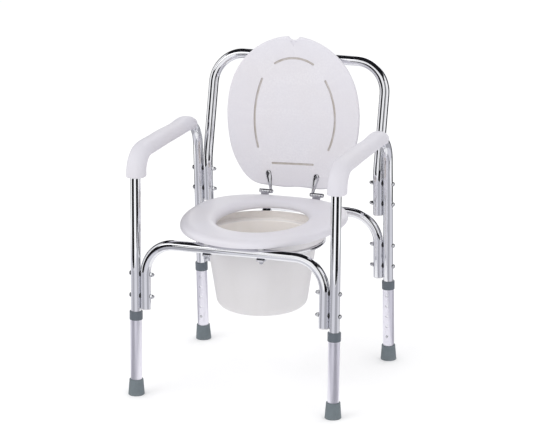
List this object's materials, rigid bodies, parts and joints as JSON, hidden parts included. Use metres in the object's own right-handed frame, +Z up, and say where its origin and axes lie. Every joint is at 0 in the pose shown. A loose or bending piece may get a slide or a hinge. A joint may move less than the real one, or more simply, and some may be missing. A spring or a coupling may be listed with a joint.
{
  "type": "commode chair",
  "caption": "Height-adjustable commode chair: bent-tube frame with armrests and backrest bar, hinged seat and lid, telescoping legs with rubber tips, and a lift-out pail.",
  "frame": {"origin": "centre of the footprint's bounding box, on the floor", "axes": "+Z up; the user faces -Y; +X to the right of someone who looks at the chair from the front"},
  "size_m": [0.5636, 0.5442, 0.8335],
  "materials": {
    "frame_tube": "polished plating",
    "leg_tube": "satin anodised",
    "grey_plastic": "moulded, slightly glossy",
    "grey_rubber": "moulded matt rubber",
    "end_plug": "moulded",
    "fastener": "bright zinc",
    "spacer": "moulded black washer",
    "armrest": "semi-gloss moulding",
    "spring_steel": "bright spring steel",
    "frame_wire": "plated rod",
    "bumper": "moulded",
    "hinge_metal": "polished plating",
    "seat_plastic": "semi-gloss moulding",
    "pail_plastic": "semi-gloss moulding, warmer inside"
  },
  "bodies": {
    "frame": {"side_frame_left": "frame_tube", "side_frame_right": "frame_tube", "front_cross_tube": "frame_tube", "rear_cross_tube": "frame_tube", "backrest_tube": "frame_tube", "tube_end_plugs": "end_plug", "frame_bolts": "fastener", "frame_cap_nuts": "fastener", "frame_spacers": "spacer", "armrest_left": "armrest", "armrest_right": "armrest", "button_springs": "spring_steel", "pail_holder_ring": "frame_wire", "holder_bolts": "fastener", "holder_cap_nuts": "fastener", "seat_bumpers": "bumper", "hinge_post_left": "hinge_metal", "hinge_post_right": "hinge_metal", "hinge_pins": "hinge_metal"},
    "seat": {"seat": "seat_plastic", "seat_strap_left": "hinge_metal", "seat_strap_right": "hinge_metal", "seat_screws": "fastener"},
    "lid": {"lid": "seat_plastic", "lid_strap_left": "hinge_metal", "lid_strap_right": "hinge_metal", "lid_screws": "fastener"},
    "pail": {"pail": "pail_plastic"},
    "leg_front_left": {"leg_extension_front_left": "leg_tube", "leg_collar_front_left": "grey_plastic", "rubber_tip_front_left": "grey_rubber"},
    "button_front_left": {"snap_button_front_left": "fastener"},
    "leg_front_right": {"leg_extension_front_right": "leg_tube", "leg_collar_front_right": "grey_plastic", "rubber_tip_front_right": "grey_rubber"},
    "button_front_right": {"snap_button_front_right": "fastener"},
    "leg_rear_left": {"leg_extension_rear_left": "leg_tube", "leg_collar_rear_left": "grey_plastic", "rubber_tip_rear_left": "grey_rubber"},
    "button_rear_left": {"snap_button_rear_left": "fastener"},
    "leg_rear_right": {"leg_extension_rear_right": "leg_tube", "leg_collar_rear_right": "grey_plastic", "rubber_tip_rear_right": "grey_rubber"},
    "button_rear_right": {"snap_button_rear_right": "fastener"}
  },
  "joints": [
    {"name": "seat_hinge", "type": "hinge", "parent": "frame", "child": "seat", "pos_m": [0, 0.18435, 0.431], "axis": [-1, 0, 0], "range_deg": [0, 92]},
    {"name": "lid_hinge", "type": "hinge", "parent": "frame", "child": "lid", "pos_m": [0, 0.18435, 0.431], "axis": [-1, 0, 0], "range_deg": [-95.3, 0]},
    {"name": "pail_lift", "type": "slide", "parent": "frame", "child": "pail", "axis": [0, 0, 1], "range_m": [0, 0.01]},
    {"name": "leg_front_left_extend", "type": "slide", "parent": "frame", "child": "leg_front_left", "axis": [0, -0.04, -0.9992], "range_m": [0, 0.112], "deforming": ["snap_button_front_left"]},
    {"name": "leg_front_right_extend", "type": "slide", "parent": "frame", "child": "leg_front_right", "axis": [0, -0.04, -0.9992], "range_m": [0, 0.112], "deforming": ["snap_button_front_right"]},
    {"name": "leg_rear_left_extend", "type": "slide", "parent": "frame", "child": "leg_rear_left", "axis": [0, 0.04, -0.9992], "range_m": [0, 0.112], "deforming": ["snap_button_rear_left"]},
    {"name": "leg_rear_right_extend", "type": "slide", "parent": "frame", "child": "leg_rear_right", "axis": [0, 0.04, -0.9992], "range_m": [0, 0.112], "deforming": ["snap_button_rear_right"]},
    {"name": "button_front_left_press", "type": "slide", "parent": "frame", "child": "button_front_left", "axis": [0, -0.9992, 0.04], "range_m": [0, 0.0042], "stiffness_N_per_m": 900, "deforming": ["button_springs"]},
    {"name": "button_front_right_press", "type": "slide", "parent": "frame", "child": "button_front_right", "axis": [0, -0.9992, 0.04], "range_m": [0, 0.0042], "stiffness_N_per_m": 900, "deforming": ["button_springs"]},
    {"name": "button_rear_left_press", "type": "slide", "parent": "frame", "child": "button_rear_left", "axis": [0, 0.9992, 0.04], "range_m": [0, 0.0042], "stiffness_N_per_m": 900, "deforming": ["button_springs"]},
    {"name": "button_rear_right_press", "type": "slide", "parent": "frame", "child": "button_rear_right", "axis": [0, 0.9992, 0.04], "range_m": [0, 0.0042], "stiffness_N_per_m": 900, "deforming": ["button_springs"]}
  ]
}
